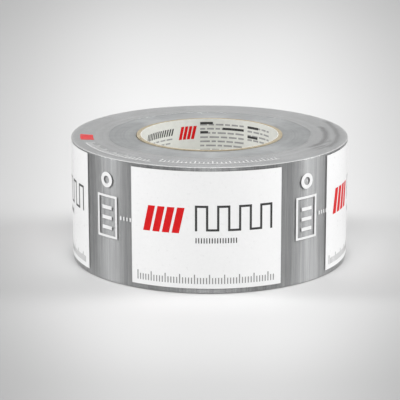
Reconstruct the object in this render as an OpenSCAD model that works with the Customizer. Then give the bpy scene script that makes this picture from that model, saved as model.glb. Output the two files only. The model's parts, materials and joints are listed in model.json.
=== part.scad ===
// A roll of cloth duct tape on a paperboard core, in its clear shrink sleeve.
// The roll stands on one end, with its axis along +Z and z = 0 at the core's lower end.

/* [Tape] */
// Width of the tape
tape_width = 48; // [12:0.5:100]
// Length of the tape on the roll, in metres
tape_metres = 27.4; // [5:0.1:40]
// Thickness of the polyethylene backing
backing_t = 0.095; // [0.06:0.005:0.2]
// Thickness of the cloth scrim
scrim_t = 0.04; // [0.03:0.005:0.1]
// Thickness of the adhesive
adhesive_t = 0.103; // [0.05:0.001:0.25]
// Number of outermost turns whose three layers are made as strips of their own
layered_turns = 2; // [1:1:8]
// Direction of the tape's cut end from the roll's axis, in degrees from +X
cut_end_at = 80; // [0:1:359]

/* [Core] */
// Inside diameter of the core
bore_d = 53.7; // [25:0.1:80]
// Thickness of the printed paper liner
liner_t = 0.2; // [0.1:0.05:0.5]
// Thickness of one board ply
ply_t = 0.4; // [0.2:0.05:1]
// How far the core stands out past the tape at each end
core_proud = 0.3; // [0.2:0.05:2]
// Slope of the wound plies' seams against the core's axis, in degrees
seam_slope = 55; // [30:1:70]
// Width of the gap where a ply's edges meet
seam_gap = 0.5; // [0.2:0.1:2]

/* [Shrink sleeve] */
// Thickness of the film
film_t = 0.08; // [0.04:0.01:0.15]
// Clearance between the film and the outermost turn, where the film turns over the rim
film_gap = 0.2; // [0.05:0.05:0.5]
// How far the film folds in over each side of the roll
fold_in = 14.5; // [4:0.5:18]
// Height of the waves along each fold's free edge
fold_wave = 0.6; // [0.1:0.1:2]
// Width of the film's welded lap
lap_w = 5; // [3:0.5:15]
// Direction of the lap from the roll's axis, in degrees from +X
lap_at = 132; // [0:1:359]

/* [Hidden] */
PLIES = 4;
$fn = 120;

core_length = tape_width + 2 * core_proud;
liner_r = bore_d / 2;
board_r = liner_r + liner_t;
core_r = board_r + PLIES * ply_t;

tape_t = adhesive_t + scrim_t + backing_t;
tape_length = tape_metres * 1000;

// The wound tape is a row of half turns about two centres, half a tape thickness
// apart. Each half turn is half a tape thickness larger than the one before, so
// its ends meet its neighbours' ends and each turn lies on the turn inside it.
function half_turn_r(k) = core_r + k * tape_t / 2;
function wound_length(n) = PI * (n * (core_r + tape_t / 2) + tape_t * n * (n - 1) / 4);
quad_a = PI * tape_t / 4;
quad_b = PI * (core_r + tape_t / 4);
half_turns = floor((sqrt(quad_b * quad_b + 4 * quad_a * tape_length) - quad_b) / (2 * quad_a));
body_half_turns = half_turns - 2 * layered_turns;
last_r = half_turn_r(half_turns);
tail_angle = (tape_length - wound_length(half_turns)) / (last_r + tape_t / 2) * 180 / PI;
roll_r = last_r + 1.5 * tape_t;

film_r = roll_r + film_gap;
sleeve_r = film_r + film_t;
fold_edge_r = roll_r - fold_in;
tape_middle = core_length / 2;
// The counts of the two waves that add up to the fold's free edge
EDGE_WAVES = [4, 11];
EDGE_STEP = 3;
// How deep the lap's weld starts in the film, as a share of its thickness
WELD = 0.5;

module ring_2d(r, t) {
    difference() {
        circle(r + t);
        circle(r);
    }
}

// The part of a ring that lies within the first turn degrees, up to half a turn
module arc_2d(r, t, turn) {
    reach = 2 * (r + t);
    difference() {
        ring_2d(r, t);
        translate([-reach, -reach])
            square([2 * reach, reach]);
        rotate(turn)
            translate([-reach, 0])
                square([2 * reach, reach]);
    }
}

// One half turn of the wound tape, from inset to inset + t above its inner face
module half_turn(k, inset, t, turn) {
    translate([k % 2 * tape_t / 2, 0])
        rotate(k % 2 * 180)
            arc_2d(half_turn_r(k) + inset, t, turn);
}

// Gives the wound tape its width, and turns it to bring the cut end to its place
module wound() {
    end_at = half_turns % 2 * 180 + tail_angle;
    translate([0, 0, core_proud])
        rotate(cut_end_at - end_at)
            linear_extrude(tape_width)
                children();
}

// The turns inside the layered ones, stuck together through their full thickness
module tape_body() {
    color("darkgray")
        wound()
            for (k = [0, 1])
                half_turn(k, 0, ceil((body_half_turns - k) / 2) * tape_t, 180);
}

// One layer of the outermost turns
module wound_strip(inset, t) {
    wound()
        for (k = [body_half_turns:half_turns])
            half_turn(k, inset, t, k < half_turns ? 180 : tail_angle);
}

module tape_adhesive() {
    color("gainsboro")
        wound_strip(0, adhesive_t);
}

module tape_scrim() {
    color("white")
        wound_strip(adhesive_t, scrim_t);
}

module tape_backing() {
    color("silver")
        wound_strip(adhesive_t + scrim_t, backing_t);
}

// A tube wound from one strip, with the butt seam where the strip's edges meet
module wound_ply(r, t, start) {
    turn = core_length * tan(seam_slope) / (r + t / 2) * 180 / PI;
    seam_w = seam_gap / cos(seam_slope);
    difference() {
        linear_extrude(core_length)
            ring_2d(r, t);
        rotate(start)
            linear_extrude(core_length, twist = -turn, slices = 36, $fn = 4)
                translate([r - t, -seam_w / 2])
                    square([3 * t, seam_w]);
    }
}

module core_liner() {
    color("ivory")
        wound_ply(liner_r, liner_t, 200);
}

module core_ply(i) {
    color("tan")
        wound_ply(board_r + (i - 1) * ply_t, ply_t, 200 + i * 360 / (PLIES + 1));
}

// Half of a section of the roll, out to radius r, with its outer corners rounded
module roll_section(r, half_width, corner_r) {
    translate([0, -half_width])
        square([r - corner_r, 2 * half_width]);
    translate([0, corner_r - half_width])
        square([r, 2 * (half_width - corner_r)]);
    for (side = [-1, 1])
        translate([r - corner_r, side * (half_width - corner_r)])
            circle(corner_r);
}

// A section of film round the roll, between two depths counted in thicknesses of film
module film_section(from, to) {
    a = from * film_t;
    b = to * film_t;
    difference() {
        roll_section(film_r + b, tape_width / 2 + b, film_gap + b);
        roll_section(film_r + a, tape_width / 2 + a, film_gap + a);
    }
}

// The open middle of each fold, with a free edge that waves as shrunk film does
module fold_opening() {
    linear_extrude(core_length, center = true)
        polygon([
            for (a = [0:EDGE_STEP:360 - EDGE_STEP])
                let (r = fold_edge_r + fold_wave / 2 * (sin(EDGE_WAVES[0] * a) + sin(EDGE_WAVES[1] * a)))
                    r * [cos(a), sin(a)]
        ]);
}

module shrink_sleeve() {
    lap_turn = lap_w / sleeve_r * 180 / PI;
    color("lightblue", 0.4)
        translate([0, 0, tape_middle])
            difference() {
                union() {
                    rotate_extrude()
                        film_section(0, 1);
                    // The lap is welded into the film under it
                    rotate([0, 0, lap_at - lap_turn / 2])
                        rotate_extrude(angle = lap_turn)
                            film_section(WELD, 2);
                }
                fold_opening();
            }
}

core_liner();
for (i = [1:PLIES])
    core_ply(i);
tape_body();
tape_adhesive();
tape_scrim();
tape_backing();
shrink_sleeve();
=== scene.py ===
import json
import math
import random

import bpy
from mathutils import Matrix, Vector, noise


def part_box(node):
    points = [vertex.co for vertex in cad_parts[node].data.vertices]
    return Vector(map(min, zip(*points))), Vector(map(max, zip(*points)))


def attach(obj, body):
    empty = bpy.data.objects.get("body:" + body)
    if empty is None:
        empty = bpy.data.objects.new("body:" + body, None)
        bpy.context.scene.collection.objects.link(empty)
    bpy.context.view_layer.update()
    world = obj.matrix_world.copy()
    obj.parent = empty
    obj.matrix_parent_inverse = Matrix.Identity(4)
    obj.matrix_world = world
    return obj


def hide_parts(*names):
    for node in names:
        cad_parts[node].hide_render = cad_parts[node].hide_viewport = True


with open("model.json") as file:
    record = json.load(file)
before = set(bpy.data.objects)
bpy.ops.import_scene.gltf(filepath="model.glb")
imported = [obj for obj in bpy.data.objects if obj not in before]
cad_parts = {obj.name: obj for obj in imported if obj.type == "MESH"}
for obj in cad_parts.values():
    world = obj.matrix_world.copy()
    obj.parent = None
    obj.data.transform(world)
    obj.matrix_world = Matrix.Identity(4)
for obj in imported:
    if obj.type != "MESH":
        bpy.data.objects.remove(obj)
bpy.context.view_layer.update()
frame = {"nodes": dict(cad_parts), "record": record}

MM = 0.001

# ------------------------------------------------------------ sizes, from the CAD frame
sleeve_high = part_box("shrink_sleeve")[1]
tape_low, tape_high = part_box("tape_backing")
core_low, core_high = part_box("core_liner")
mounts = {m["name"]: m for m in frame["record"]["mounts"]}
BORE_R = mounts["core_bore"]["dims"]["r_mm"] * MM
TAPE_T = 0.238 * MM                             # one turn of tape
FILM_T = (sleeve_high.z - tape_high.z) / 2      # the box holds the lap's two thicknesses
SKIN_R = sleeve_high.x - 0.15 * MM              # the film lies close to the tape
TOP_Z = tape_high.z + FILM_T
BOTTOM_Z = tape_low.z - FILM_T
RIM_R = 0.3 * MM
FOLD_EDGE_R = 39.6 * MM
LAP_AT, LAP_TURN = 132.0, 5.3                   # degrees from +X, and degrees wide
LAP_STEP = 0.02 * MM
LAP_EDGE = 0.15                                 # half the width of the lap's softened edge, in degrees

# White panels on the side, as angles from the front, with the right side positive, and the
# height of each one's top edge
PANELS = [(-32.3, 29.4, 46.9), (54.9, 116.6, 47.3), (142.1, 203.8, 46.9), (240.0, 301.7, 47.7)]
PANEL_FOOT = 2.1 * MM


def from_x(front_angle):
    """An angle from the front as an angle from +X, in degrees."""
    return front_angle - 90.0


def smooth(low, high, x):
    """0 up to low, 1 from high, and an even curve between."""
    t = min(max((x - low) / (high - low), 0.0), 1.0)
    return t * t * (3 - 2 * t)


# ------------------------------------------------------------ materials
class Nodes:
    """A material's node tree, with a short way to add and join nodes."""

    def __init__(self, name):
        self.mat = bpy.data.materials.new(name)
        self.mat.use_nodes = True
        self.tree = self.mat.node_tree
        self.tree.nodes.clear()
        self.out = self.tree.nodes.new("ShaderNodeOutputMaterial")

    def add(self, kind, inputs=(), **settings):
        node = self.tree.nodes.new("ShaderNode" + kind)
        for key, value in settings.items():
            setattr(node, key, value)
        for key, value in dict(inputs).items():
            if isinstance(value, bpy.types.NodeSocket):
                self.tree.links.new(value, node.inputs[key])
            else:
                node.inputs[key].default_value = value
        return node

    def math(self, operation, a, b=0.0):
        return self.add("Math", {0: a, 1: b}, operation=operation).outputs[0]

    def place(self, scale=(1, 1, 1)):
        where = self.add("TexCoord").outputs["Object"]
        return self.add("Mapping", {"Vector": where, "Scale": scale}).outputs[0]

    def noise(self, scale, detail=3.0, stretch=(1, 1, 1), roughness=0.55):
        return self.add("TexNoise", {"Vector": self.place(stretch), "Scale": scale, "Detail": detail,
                                     "Roughness": roughness}).outputs["Fac"]

    def ramp(self, fac, stops):
        node = self.add("ValToRGB", {"Fac": fac})
        elements = node.color_ramp.elements
        while len(elements) < len(stops):
            elements.new(0.5)
        for element, (at, colour) in zip(elements, stops):
            element.position = at
            element.color = (*colour, 1)
        return node.outputs["Color"]

    def bump(self, height, strength, distance):
        return self.add("Bump", {"Height": height, "Strength": strength, "Distance": distance}).outputs[0]

    def round_the_axis(self):
        """The direction round the roll, for a stretched highlight."""
        return self.add("Tangent", direction_type="RADIAL", axis="Z").outputs[0]

    def surface(self, socket):
        self.tree.links.new(socket, self.out.inputs["Surface"])
        return self.mat


def grey(x):
    return (x, x, x)


ALONG_THE_AXIS = (1, 1, 0.02)       # stretches noise into streaks along the roll's axis
WARP_THREADS = 340
WEFT_PITCH = 1.0 * MM


def silver_backing():
    """Satin silver polyethylene with the cloth's threads pressed into it."""
    n = Nodes("silver_backing")
    streaks = n.noise(1500, 3, ALONG_THE_AXIS, 0.7)
    broad = n.noise(330, 2, ALONG_THE_AXIS)
    tone = n.math("ADD", n.math("MULTIPLY", streaks, 0.5), n.math("MULTIPLY", broad, 0.5))
    colour = n.ramp(tone, [(0.36, (0.285, 0.289, 0.292)), (0.5, (0.39, 0.395, 0.398)),
                           (0.64, (0.51, 0.515, 0.518))])
    axes = n.add("SeparateXYZ", {0: n.place()})
    turn = n.math("ARCTAN2", axes.outputs["Y"], axes.outputs["X"])
    warp = n.math("SINE", n.math("MULTIPLY", turn, WARP_THREADS))
    weft = n.math("SINE", n.math("MULTIPLY", axes.outputs["Z"], 2 * math.pi / WEFT_PITCH))
    threads = n.math("ADD", n.math("MULTIPLY", warp, 0.12), n.math("MULTIPLY", weft, 0.08))
    height = n.math("ADD", threads, n.math("ADD", n.math("MULTIPLY", broad, 2.0), streaks))
    rough = n.math("ADD", n.math("MULTIPLY", broad, 0.14), 0.38)
    return n.surface(n.add("BsdfPrincipled", {
        "Base Color": colour, "Metallic": 0.85, "Roughness": rough, "Anisotropic": 0.95,
        "Anisotropic Rotation": 0.25, "Tangent": n.round_the_axis(),
        "Normal": n.bump(height, 0.35, 0.05 * MM)}).outputs[0])


def wound_tape():
    """The side of tightly wound tape: satin grey with a fine ring for each turn."""
    n = Nodes("wound_tape")
    axes = n.add("SeparateXYZ", {0: n.place()})
    flat = n.add("CombineXYZ", {0: axes.outputs["X"], 1: axes.outputs["Y"]}).outputs[0]
    r = n.add("VectorMath", {0: flat}, operation="LENGTH").outputs["Value"]
    turn = n.math("SINE", n.math("MULTIPLY", r, 2 * math.pi / TAPE_T))
    far = n.add("CombineXYZ", {0: r}).outputs[0]
    band = n.add("TexNoise", {"Vector": far, "Scale": 420, "Detail": 3}).outputs["Fac"]
    mottle = n.noise(240, 3)
    tone = n.math("ADD", n.math("MULTIPLY", band, 0.6), n.math("MULTIPLY", mottle, 0.4))
    tone = n.math("ADD", tone, n.math("MULTIPLY", turn, 0.03))
    colour = n.ramp(tone, [(0.3, (0.22, 0.226, 0.228)), (0.5, (0.295, 0.302, 0.304)),
                           (0.7, (0.38, 0.388, 0.39))])
    rough = n.math("ADD", n.math("MULTIPLY", mottle, 0.15), 0.4)
    height = n.math("ADD", n.math("MULTIPLY", turn, 0.3), band)
    return n.surface(n.add("BsdfPrincipled", {
        "Base Color": colour, "Metallic": 0.28, "Specular IOR Level": 0.1, "Roughness": rough,
        "Anisotropic": 0.92, "Anisotropic Rotation": 0.25, "Tangent": n.round_the_axis(),
        "Normal": n.bump(height, 0.2, 0.03 * MM)}).outputs[0])


def plain(name, stops, scale, roughness, bump=0.1, depth=0.02, stretch=(1, 1, 1), **sockets):
    """A material with its colour and roughness varied by noise. depth is the bump's, in mm."""
    n = Nodes(name)
    mottle = n.noise(scale, 4, stretch)
    spread = 0.15
    rough = n.math("ADD", n.math("MULTIPLY", mottle, spread), roughness - spread / 2)
    inputs = {"Base Color": n.ramp(mottle, stops), "Roughness": rough,
              "Normal": n.bump(mottle, bump, depth * MM)}
    inputs.update({key.replace("_", " "): value for key, value in sockets.items()})
    return n.surface(n.add("BsdfPrincipled", inputs).outputs[0])


def clear_film():
    """Thin clear glossy film: slightly hazy, hazier on the stretched rim, which paints a highlight there,
    and painted shade in creases.
    """
    n = Nodes("clear_film")
    normal = n.bump(n.noise(260, 3), 0.15, 0.05 * MM)
    outer = n.math("SUBTRACT", 1.0, n.add("NewGeometry").outputs["Backfacing"])
    fresnel = n.add("Fresnel", {"IOR": 1.45, "Normal": normal}).outputs[0]
    painted_crease_shade = n.add("Attribute", attribute_name="crease").outputs["Fac"]
    # Clouding from stretching, with a painted highlight on the rim and a painted sheen on the folds
    stretched = n.add("Attribute", attribute_name="rim").outputs["Fac"]
    # Painted shade: the creases let less light through, darkening them as if they mirrored a darker room
    painted_shade_tint = n.ramp(n.math("MULTIPLY", painted_crease_shade, outer), [(0.0, grey(0.97)), (1.0, grey(0.3))])
    seen = n.add("BsdfTransparent", {"Color": painted_shade_tint}).outputs[0]
    gloss = n.add("BsdfAnisotropic", {"Color": (1, 1, 1, 1), "Roughness": 0.06, "Normal": normal}).outputs[0]
    patchy = n.math("ADD", n.math("MULTIPLY", n.noise(700, 4), 0.9), 0.3)
    haze_and_highlight = n.math("ADD", n.math("MULTIPLY", n.noise(90, 3), 0.08), n.math("MULTIPLY", stretched, patchy))
    haze_and_highlight = n.math("MULTIPLY", haze_and_highlight, outer)
    white = n.add("BsdfDiffuse", {"Color": (0.8, 0.8, 0.8, 1)}).outputs[0]
    body = n.add("MixShader", {"Fac": haze_and_highlight, 1: seen, 2: white}).outputs[0]
    shine = n.math("MULTIPLY", fresnel, outer)
    return n.surface(n.add("MixShader", {"Fac": shine, 1: body, 2: gloss}).outputs[0])


SILVER = silver_backing()
WOUND = wound_tape()
FILM = clear_film()
WHITE_PRINT = plain("white_print", [(0.3, grey(0.855)), (0.7, grey(0.875))], 900, 0.3, 0.03, Coat_Weight=0.4)
ADHESIVE = plain("adhesive", [(0.3, (0.27, 0.277, 0.28)), (0.7, (0.36, 0.368, 0.37))], 700, 0.55)
SCRIM = plain("scrim", [(0.3, grey(0.45)), (0.7, grey(0.62))], 1500, 0.8)
BOARD = plain("core_board", [(0.3, (0.275, 0.225, 0.15)), (0.55, (0.35, 0.303, 0.213)),
                             (0.75, (0.42, 0.373, 0.283))], 900, 0.85, 0.4, 0.04, (1, 1, 0.4))
PAPER = plain("printed_paper", [(0.3, (0.71, 0.715, 0.675)), (0.7, (0.765, 0.77, 0.73))], 500, 0.6)
RED_INK = plain("red_ink", [(0.3, (0.61, 0.005, 0.007)), (0.7, (0.7, 0.008, 0.011))], 500, 0.45,
                Specular_IOR_Level=0.2)
DARK_INK = plain("dark_ink", [(0.3, grey(0.035)), (0.7, grey(0.055))], 500, 0.45, Specular_IOR_Level=0.3)
PALE_INK = plain("pale_ink", [(0.3, grey(0.3)), (0.7, grey(0.38))], 500, 0.5)
GREY_INK = plain("grey_ink", [(0.3, grey(0.2)), (0.7, grey(0.27))], 500, 0.4, Coat_Weight=0.3)
WHITE_INK = plain("white_ink", [(0.3, grey(0.78)), (0.7, grey(0.86))], 500, 0.35, Coat_Weight=0.3)
THIN_INK = plain("thin_white_ink", [(0.3, grey(0.48)), (0.7, grey(0.62))], 500, 0.5, Specular_IOR_Level=0.3)

cad_materials = {"tape_backing": SILVER, "tape_body": WOUND, "tape_adhesive": ADHESIVE, "tape_scrim": SCRIM,
                 "core_liner": PAPER}
cad_materials.update({f"core_ply_{i}": BOARD for i in range(1, 5)})
for name, material in cad_materials.items():
    for slot in frame["nodes"][name].material_slots:
        slot.material = material


# ------------------------------------------------------------ the shrink sleeve
CREASE_SAMPLES = 8          # on each straight stretch of a crease
CREASE_FADE = 9             # samples over which a crease rises at its ends
CREASE_TOP = 0.17 * MM      # the highest crease, where the painted shade is darkest


def crease(points, width, height):
    """A fold of film along a line on the top face: its samples, width, height and the box it lies in."""
    line = []
    for a, b in zip(points, points[1:]):
        line += [Vector(a).lerp(Vector(b), k / CREASE_SAMPLES) * MM for k in range(CREASE_SAMPLES)]
    reach = 2.5 * width * MM
    box = [(min(p[axis] for p in line) - reach, max(p[axis] for p in line) + reach) for axis in (0, 1)]
    return line, width * MM, height * MM, box


# Two long creases along the right of the top face, two short ones at their front ends and a hook, in mm
CREASES = [
    crease([(45.8, 26.6), (48.1, 20.2), (49.9, 8.7), (50.3, -2.2), (48.7, -12.9), (46.1, -19.9),
            (43.9, -24.4)], 0.95, 0.14),
    crease([(43.0, 15.5), (45.0, 11.1), (45.8, 3.3), (45.2, -6.5), (43.1, -14.9), (39.9, -19.9),
            (35.4, -25.2)], 1.05, 0.17),
    crease([(37.5, -26.6), (40.6, -23.0), (43.8, -19.6), (46.9, -15.0)], 0.55, 0.15),
    crease([(39.6, -26.9), (42.4, -23.8), (45.6, -19.8), (48.0, -15.6)], 0.5, 0.13),
    crease([(42.6, -8.0), (44.0, -14.0), (46.6, -12.2), (47.3, -6.0)], 0.6, 0.1),
]

MOST_LIFT = 0.19 * MM       # keeps the folds and their ink between the core's two ends
FOLD_ROWS = {1: 36, -1: 24}
RIM_STEPS = 5
INNER_FACE = 0.7 * FILM_T   # how deep the film's inner face lies under its outer one
CREASED_FROM, CREASED_TO = 318, 34          # degrees from +X between which the top fold is creased
# partly real clouding, partly a painted sheen over the top and bottom folds
FOLD_HAZE_AND_SHEEN = 0.2


def creased(x, y):
    """How far a place on the top fold is up a crease, which sets its painted shade, and how high it stands
    there.
    """
    here, share, lift = Vector((x, y)), 0.0, 0.0
    for line, width, height, ((x0, x1), (y0, y1)) in CREASES:
        if x0 < x < x1 and y0 < y < y1:
            near = min(range(len(line)), key=lambda k: (line[k] - here).length_squared)
            ends = smooth(0, CREASE_FADE, near) * smooth(0, CREASE_FADE, len(line) - 1 - near)
            up = ends * math.exp(-((line[near] - here).length / width) ** 2)
            share = max(share, up * height / CREASE_TOP)
            lift += up * height
    return share, lift


def fold_lift(angle, r, side):
    """How far the film stands off the tape at one place on a fold. side is 1 on top, -1 below."""
    phi = math.radians(angle)
    x, y = r * math.cos(phi), r * math.sin(phi)
    inward = smooth(SKIN_R - 3 * MM, FOLD_EDGE_R, r)
    pucker = noise.noise(Vector((9 * math.cos(phi), 9 * math.sin(phi), side * 5.0 + r * 60)))
    broad = noise.noise(Vector((x * 45, y * 45, side * 9.0)))
    lift = 0.03 * MM * (1 + pucker) * inward ** 2 + 0.02 * MM * (1 + broad) * inward
    return min(lift + (creased(x, y)[1] if side > 0 else 0.0), MOST_LIFT)


def fold_edge(angle, side):
    """The radius of a fold's free edge, which waves and is a little ragged."""
    phi = math.radians(angle)
    wave = 0.5 * math.sin(4 * phi) + 0.5 * math.sin(11 * phi)
    ragged = noise.noise(Vector((4 * math.cos(phi), 4 * math.sin(phi), side * 3.0)))
    return FOLD_EDGE_R + (0.4 * wave + 0.6 * ragged) * MM


def lap_step(angle):
    """The lap stands out by one more layer, with its edges softened by the weld."""
    off = abs((angle - LAP_AT + 180) % 360 - 180)
    return LAP_STEP * (1 - smooth(LAP_TURN / 2 - LAP_EDGE, LAP_TURN / 2 + LAP_EDGE, off))


def film_rows():
    """The film's rows from the top fold's free edge to the lower one's, as (kind, side, place)."""
    def fold(side):
        return [("fold", side, k / FOLD_ROWS[side]) for k in range(FOLD_ROWS[side])]

    rim = [k / RIM_STEPS for k in range(RIM_STEPS + 1)]
    heights = sorted({PANEL_FOOT} | {top * MM for _, _, top in PANELS} | {z * MM for z in range(4, 46, 3)},
                     reverse=True)
    rows = fold(1) + [("rim", 1, t) for t in rim]
    rows += [("side", 0, z) for z in heights]
    return rows + [("rim", -1, t) for t in reversed(rim)] + fold(-1)[::-1]


def film_point(angle, row, inner):
    """A point on the film's outer face, or on its inner face."""
    kind, side, t = row
    phi = math.radians(angle)
    under = INNER_FACE if inner else 0.0
    step = 0.0 if inner else lap_step(angle)
    face = TOP_Z if side > 0 else BOTTOM_Z
    if kind == "fold":
        edge = fold_edge(angle, side)
        r = edge + (SKIN_R - RIM_R - edge) * t
        z = face + side * (fold_lift(angle, r, side) - under + step)
    elif kind == "rim":
        turn = t * math.pi / 2
        r = SKIN_R - RIM_R + (RIM_R - under + step) * math.sin(turn)
        z = face - side * RIM_R + side * (RIM_R - under + step) * math.cos(turn)
    else:
        ripple = noise.noise(Vector((30 * math.cos(phi), 30 * math.sin(phi), t * 60)))
        r = SKIN_R - under + step - 0.012 * MM * (0.5 + 0.5 * ripple)
        z = t
    return r * math.cos(phi), r * math.sin(phi), z


def film_angles():
    """Every degree, every half degree where the top fold is creased, and each panel's and lap's edges."""
    edges = [from_x(a) % 360 for low, high, _ in PANELS for a in (low, high)]
    lap = [LAP_AT + s * (LAP_TURN / 2 + d) for s in (-1, 1) for d in (-LAP_EDGE, 0.0, LAP_EDGE)]
    fixed = edges + lap
    halves = [k * 0.5 for k in range(720)]
    free = [a for a in halves if a % 1 == 0 or a < CREASED_TO or a > CREASED_FROM]
    free = [a for a in free if all(abs(a - f) > 0.2 for f in fixed)]
    return sorted(free + fixed)


def on_panel(angle, z):
    """Whether a place on the film's side lies on a white panel."""
    front = (angle + 90) % 360
    return any(low <= turn <= high and PANEL_FOOT < z < top * MM
               for low, high, top in PANELS for turn in (front, front - 360))


def film_haze_and_highlight(kind, t):
    """How far the film is clouded: most on the rim, by stretching and a painted highlight line, a little on
    the folds, with a painted sheen.
    """
    if kind == "rim":
        return max(FOLD_HAZE_AND_SHEEN * (1 - t), math.sin(math.pi * min(1.35 * t, 1)))
    return FOLD_HAZE_AND_SHEEN if kind == "fold" else 0.0


def film_faces(angles, rows):
    """The closed mesh's faces, each with its material slot: 1 on the white panels, else 0."""
    n, m = len(angles), len(rows)
    after = angles[1:] + [angles[0] + 360]

    def at(i, j, inner):
        return inner * n * m + i * n + j % n

    faces, slots = [], []
    for i in range(m - 1):
        upright = rows[i][0] == rows[i + 1][0] == "side"
        for j in range(n):
            slot = int(upright and on_panel((angles[j] + after[j]) / 2, (rows[i][2] + rows[i + 1][2]) / 2))
            faces += [(at(i + 1, j, 0), at(i + 1, j + 1, 0), at(i, j + 1, 0), at(i, j, 0)),
                      (at(i, j, 1), at(i, j + 1, 1), at(i + 1, j + 1, 1), at(i + 1, j, 1))]
            slots += [slot, slot]
    for j in range(n):
        faces += [(at(0, j, 0), at(0, j + 1, 0), at(0, j + 1, 1), at(0, j, 1)),
                  (at(m - 1, j, 1), at(m - 1, j + 1, 1), at(m - 1, j + 1, 0), at(m - 1, j, 0))]
        slots += [0, 0]
    return faces, slots


def build_film():
    angles, rows = film_angles(), film_rows()
    verts = [film_point(a, row, inner) for inner in (False, True) for row in rows for a in angles]
    faces, slots = film_faces(angles, rows)
    mesh = bpy.data.meshes.new("sleeve_film")
    mesh.from_pydata(verts, [], faces)
    mesh.materials.append(FILM)
    mesh.materials.append(WHITE_PRINT)
    mesh.polygons.foreach_set("material_index", slots)
    mesh.polygons.foreach_set("use_smooth", [True] * len(faces))
    # The creases' painted shade, and the clouding with its painted highlight and sheen, for the film's
    # material
    painted_crease_shade = [creased(x, y)[0] if z > TOP_Z - 0.2 * MM else 0.0 for x, y, z in verts]
    stretched = [film_haze_and_highlight(kind, t) for kind, _, t in rows for _ in angles] * 2
    for name, values in (("crease", painted_crease_shade), ("rim", stretched)):
        mesh.attributes.new(name, "FLOAT", "POINT").data.foreach_set("value", values)
    obj = bpy.data.objects.new("sleeve_film", mesh)
    bpy.context.scene.collection.objects.link(obj)
    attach(obj, "root")
    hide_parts("shrink_sleeve")


build_film()


# ------------------------------------------------------------ printed ink
def on_side(lift):
    """s runs to the right round the roll from the front, and z is the height."""
    def place(s, z):
        phi = math.radians(from_x(0)) + s / SKIN_R
        r = SKIN_R + lift * MM
        return r * math.cos(phi), r * math.sin(phi), z
    return place


def on_top(centre_angle, r0, lift):
    """s runs along the rim from centre_angle, and h runs in towards the axis."""
    def place(s, h):
        phi, r = math.radians(centre_angle) + s / r0, r0 - h
        z = TOP_Z + fold_lift(math.degrees(phi) % 360, r, 1) + lift * MM
        return r * math.cos(phi), r * math.sin(phi), z
    return place


def in_bore(lift):
    """s runs to the right across the far wall, as seen from the front, from its middle."""
    def place(s, z):
        phi = math.radians(90) - s / BORE_R
        r = BORE_R - lift * MM
        return r * math.cos(phi), r * math.sin(phi), z
    return place


class Ink:
    """Flat shapes of one ink, laid on a curved surface. Shapes are given in mm along and across it."""

    def __init__(self, name, material, slot):
        self.name, self.material, self.slot = name, material, slot
        self.verts, self.faces = [], []

    def strip(self, place, lower, upper):
        """The band between two lines with as many points each."""
        first = len(self.verts)
        self.verts += [place(s * MM, z * MM) for s, z in lower + upper]
        n = len(lower)
        self.faces += [(first + k, first + k + 1, first + n + k + 1, first + n + k) for k in range(n - 1)]

    def block(self, place, s0, s1, z0, z1):
        """A filled box, with a point every millimetre so that it bends with the surface."""
        steps = max(1, math.ceil(s1 - s0))
        s = [s0 + (s1 - s0) * k / steps for k in range(steps + 1)]
        self.strip(place, [(x, z0) for x in s], [(x, z1) for x in s])

    def ring(self, place, s, z, r, stroke, steps=40):
        a = [2 * math.pi * k / steps for k in range(steps + 1)]
        self.strip(place, [(s + r * math.cos(x), z + r * math.sin(x)) for x in a],
                   [(s + (r - stroke) * math.cos(x), z + (r - stroke) * math.sin(x)) for x in a])

    def frame(self, place, s0, s1, z0, z1, stroke):
        self.block(place, s0, s1, z0, z0 + stroke)
        self.block(place, s0, s1, z1 - stroke, z1)
        self.block(place, s0, s0 + stroke, z0 + stroke, z1 - stroke)
        self.block(place, s1 - stroke, s1, z0 + stroke, z1 - stroke)

    def slant(self, place, s0, s1, z0, z1, lean, rows=6):
        """An upright bar that leans to the right by lean over its height."""
        first = len(self.verts)
        for k in range(rows + 1):
            z, off = z0 + (z1 - z0) * k / rows, lean * k / rows
            self.verts += [place((s + off) * MM, z * MM) for s in (s0, (s0 + s1) / 2, s1)]
        corners = [first + 3 * k + column for k in range(rows) for column in (0, 1)]
        self.faces += [(c, c + 1, c + 4, c + 3) for c in corners]

    def stripes(self, place, s0, s1, z0, z1, count, share, lean):
        """Leaning bars side by side that fill a box."""
        pitch = (s1 - s0 - lean) / (count - 1 + share)
        for k in range(count):
            self.slant(place, s0 + k * pitch, s0 + (k + share) * pitch, z0, z1, lean)

    def wave(self, place, s0, s1, z0, z1, stroke, turns):
        """A thin line that runs up and down in square turns."""
        pitch = (s1 - s0 - stroke) / turns
        for k in range(turns + 1):
            x = s0 + k * pitch
            self.block(place, x, x + stroke, z0, z1)
            if k < turns:
                z = z1 - stroke if k % 2 == 0 else z0
                self.block(place, x + stroke, x + pitch, z, z + stroke)

    def scale(self, place, s0, s1, z0, z1, pitch, width, short=1.0, every=1):
        """A ruler's ticks: each one of so many is the full height, the rest a share of it."""
        for k in range(int((s1 - s0 - width) / pitch) + 1):
            up = 1.0 if k % every == 0 else short
            self.block(place, s0 + k * pitch, s0 + k * pitch + width, z0, z0 + (z1 - z0) * up)

    def dashes(self, place, s0, s1, z0, z1, seed):
        """A broken line of plain dashes."""
        rng = random.Random(seed)
        shortest, longest, gap, least = 1.4, 4.2, 0.7, 0.5
        s = s0
        while s < s1 - least:
            w = min(rng.uniform(shortest, longest), s1 - s)
            self.block(place, s, s + w, z0, z1)
            s += w + gap

    def finish(self):
        mesh = bpy.data.meshes.new(self.name)
        mesh.from_pydata(self.verts, [], self.faces)
        mesh.materials.append(self.material)
        obj = bpy.data.objects.new(self.name, mesh)
        bpy.context.scene.collection.objects.link(obj)
        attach(obj, "root")


BAR_SHARE = 0.74            # a leaning bar's share of the pitch from bar to bar
BADGES_AT = (-45.3, 42.2, 129.3, 215.5)     # angles from the front, between the panels

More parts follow.
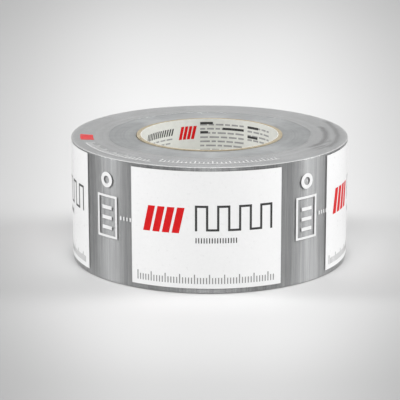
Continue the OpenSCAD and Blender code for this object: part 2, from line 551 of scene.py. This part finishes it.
side = on_side(0.015)
mm_per_degree = SKIN_R / MM * math.pi / 180
side_red = Ink("side_red_ink", RED_INK, "clear_film")
side_dark = Ink("side_dark_ink", DARK_INK, "clear_film")
side_grey = Ink("side_grey_ink", GREY_INK, "clear_film")
side_white = Ink("side_white_ink", WHITE_INK, "clear_film")


def print_panel(s):
    """Leaning red bars, a dark square wave and two rulers, from a white panel's left edge at s."""
    side_red.stripes(side, s + 5.0, s + 21.4, 23.2, 33.0, count=4, share=BAR_SHARE, lean=2.2)
    side_dark.wave(side, s + 25.2, s + 54.6, 24.2, 34.0, stroke=0.85, turns=7)
    side_dark.scale(side, s + 25.4, s + 41.6, 19.6, 21.6, pitch=1.0, width=0.42)
    side_grey.scale(side, s + 2.4, s + 56.5, 3.9, 7.5, pitch=1.12, width=0.42, short=0.66, every=5)


def print_badge(s):
    """A white ring, an outlined box with three bars and a short row of dots, centred at s."""
    side_white.ring(side, s, 39.8, r=3.0, stroke=1.5)
    side_white.frame(side, s - 5.3, s + 5.3, 17.4, 34.0, stroke=0.9)
    for k in range(3):
        foot = 20.6 + k * 3.9
        side_white.block(side, s - 2.6, s + 2.6, foot, foot + 1.4)
    for k in range(4):
        x = s + 6.9 + 1.5 * k
        side_white.block(side, x, x + 0.6, 25.4, 26.9)


for low, _, _ in PANELS:
    print_panel(low * mm_per_degree)
for centre in BADGES_AT:
    print_badge(centre * mm_per_degree)
for ink in (side_red, side_dark, side_grey, side_white):
    ink.finish()

TOP_LIFT = 0.03
top_white = Ink("top_white_ink", THIN_INK, "clear_film")
top_red = Ink("top_red_ink", RED_INK, "clear_film")
# Two rulers round the front, each with the angle it starts at, its radius and its length in mm
for start, r, length in ((197, 50.0, 41), (247, 48.4, 47)):
    ruler = on_top(start, r * MM, TOP_LIFT)
    top_white.scale(ruler, 0, length, 0.5, 3.8, pitch=1.7, width=0.55, short=0.6, every=4)
    top_white.block(ruler, 0, length, 0.0, 0.5)
top_red.stripes(on_top(180, 50.7 * MM, TOP_LIFT), 0, 10.4, 0, 5.0, count=4, share=BAR_SHARE, lean=1.4)
top_white.finish()
top_red.finish()

bore, bore_over = in_bore(0.02), in_bore(0.035)
bore_red = Ink("bore_red_ink", RED_INK, "printed_paper")
bore_dark = Ink("bore_dark_ink", DARK_INK, "printed_paper")
bore_grey = Ink("bore_grey_ink", PALE_INK, "printed_paper")
# Dark blocks over the dashes, each with its ends and its foot
BORE_BLOCKS = ((-3.8, 1.4, 46.4), (5.4, 14.6, 44.1), (-3.8, -0.6, 42.6), (16.4, 22.0, 45.7),
               (16.4, 21.6, 41.7))
LINE_H, LINE_PITCH = 0.7, 1.75


def print_bore(half):
    """One of the two like halves of the liner's print."""
    s = half * math.pi * BORE_R / MM
    bore_red.stripes(bore, s - 13.0, s - 5.2, 40.4, 45.8, count=4, share=BAR_SHARE, lean=1.2)
    bore_dark.stripes(bore, s - 31.5, s - 15.2, 42.6, 45.4, count=13, share=0.55, lean=0.8)
    bore_grey.dashes(bore, s - 31.0, s - 16.0, 40.9, 41.5, seed=43 + half)
    bore_grey.dashes(bore, s - 28.0, s - 16.0, 39.2, 39.8, seed=45 + half)
    for row in range(7):
        z = 46.6 - LINE_PITCH * row
        bore_grey.dashes(bore, s - 3.8, s + 14.6, z - LINE_H, z, seed=50 + 10 * half + row)
        if row < 4:
            bore_grey.dashes(bore, s + 16.4, s + 29.0, z - LINE_H, z, seed=70 + 10 * half + row)
    for s0, s1, foot in BORE_BLOCKS:
        bore_dark.block(bore_over, s + s0, s + s1, foot, foot + 0.95)


for half in (0, 1):
    print_bore(half)
for ink in (bore_red, bore_dark, bore_grey):
    ink.finish()


# ------------------------------------------------------------ floor, lights and camera
FLOOR_REACH = 8
FLOOR_UNSEEN = (0.65, 0.65, 0.65, 1)    # what the floor throws back as plain light
NEAR, DEEP = 0.3, 1.3                   # the painted light and shade on the floor start this far before the roll, and run this deep


def floor():
    """A pale floor with a painted pool of light round the roll, widening towards the back, and painted shade
    round it.
    """
    n = Nodes("floor")
    axes = n.add("SeparateXYZ", {0: n.place()})
    x, y = axes.outputs["X"], axes.outputs["Y"]
    depth = n.math("DIVIDE", n.math("ADD", y, NEAR), DEEP)
    # Painted light and shade along the floor's depth: darker in front, where the key lamp falls strongest,
    # palest round the roll, darker behind
    painted_pool_light = n.ramp(depth, [(0.02, grey(0.36)), (0.118, grey(0.475)), (0.18, grey(0.655)),
                                  (0.45, grey(0.65)), (0.6, grey(0.595)), (0.72, grey(0.535)),
                                  (1.0, grey(0.44))])
    # Painted shade to each side of the pool
    painted_shade_round_pool = n.ramp(depth, [(0.0, grey(0.3)), (0.124, grey(0.31)), (0.3, grey(0.425)), (0.68, grey(0.365)),
                             (1.0, grey(0.35))])
    width = n.math("MAXIMUM", n.math("ADD", n.math("MULTIPLY", y, 0.1055), 0.0805), 0.06)
    aside = n.math("ABSOLUTE", n.math("DIVIDE", x, width))
    painted_pool_share = n.add("MapRange", {"Value": aside, "From Min": 0.25, "From Max": 1.3, "To Min": 1.0,
                                "To Max": 0.0}, interpolation_type="SMOOTHSTEP").outputs[0]
    shade = n.math("ADD", painted_shade_round_pool, n.math("MULTIPLY", n.math("SUBTRACT", painted_pool_light, painted_shade_round_pool), painted_pool_share))
    colour = n.add("CombineColor", {0: shade, 1: shade, 2: shade}).outputs[0]
    # Only the camera and reflections see the painted light and shade; the roll is lit by the plain floor
    path = n.add("LightPath").outputs
    seen_or_shone = n.math("MAXIMUM", path["Is Camera Ray"],
                           n.math("MAXIMUM", path["Is Glossy Ray"], path["Is Transmission Ray"]))
    seen = n.add("MixRGB", {"Fac": seen_or_shone, 1: FLOOR_UNSEEN, 2: colour}).outputs[0]
    material = n.surface(n.add("BsdfDiffuse", {"Color": seen}).outputs[0])
    mesh = bpy.data.meshes.new("floor")
    corners = [(x * FLOOR_REACH, y * FLOOR_REACH, 0) for x, y in ((-1, -1), (1, -1), (1, 1), (-1, 1))]
    mesh.from_pydata(corners, [], [(0, 1, 2, 3)])
    mesh.materials.append(material)
    obj = bpy.data.objects.new("floor", mesh)
    bpy.context.scene.collection.objects.link(obj)


def softbox(name, place, size, radiance):
    """A soft rectangular lamp turned to the roll's middle."""
    data = bpy.data.lights.new(name, "AREA")
    data.shape = "RECTANGLE"
    data.size, data.size_y = size
    data.energy = radiance * math.pi * size[0] * size[1]
    obj = bpy.data.objects.new(name, data)
    obj.location = place
    middle = Vector((0, 0, (core_low.z + core_high.z) / 2))
    obj.rotation_euler = (middle - Vector(place)).to_track_quat("-Z", "Y").to_euler()
    bpy.context.scene.collection.objects.link(obj)


floor()
softbox("key_light", (0, -1.1, 1.7), (1.2, 1.2), 6.1)
softbox("left_light", (-1.2, 0.07, 0.68), (0.3, 0.7), 11.7)
softbox("right_light", (1.2, 0.09, 0.68), (0.44, 0.7), 10.4)
softbox("back_light", (0, 1.3, 1.4), (1.0, 0.8), 3.6)

world = bpy.data.worlds.new("studio")
world.use_nodes = True
background = world.node_tree.nodes["Background"]
background.inputs["Color"].default_value = (1, 1, 1, 1)
background.inputs["Strength"].default_value = 0.37
bpy.context.scene.world = world

DISTANCE, ELEVATION = 0.735, math.radians(14.84)
aim = Vector((0, 0, (tape_low.z + tape_high.z) / 2))
camera = bpy.data.cameras.new("camera")
camera.lens = 166.95
camera.sensor_width = 36
camera.shift_x, camera.shift_y = -0.02375, -0.01625
camera_obj = bpy.data.objects.new("camera", camera)
camera_obj.location = aim + DISTANCE * Vector((0, -math.cos(ELEVATION), math.sin(ELEVATION)))
camera_obj.rotation_euler = (aim - camera_obj.location).to_track_quat("-Z", "Y").to_euler()
bpy.context.scene.collection.objects.link(camera_obj)
bpy.context.scene.camera = camera_obj
bpy.context.scene.view_settings.view_transform = "Standard"
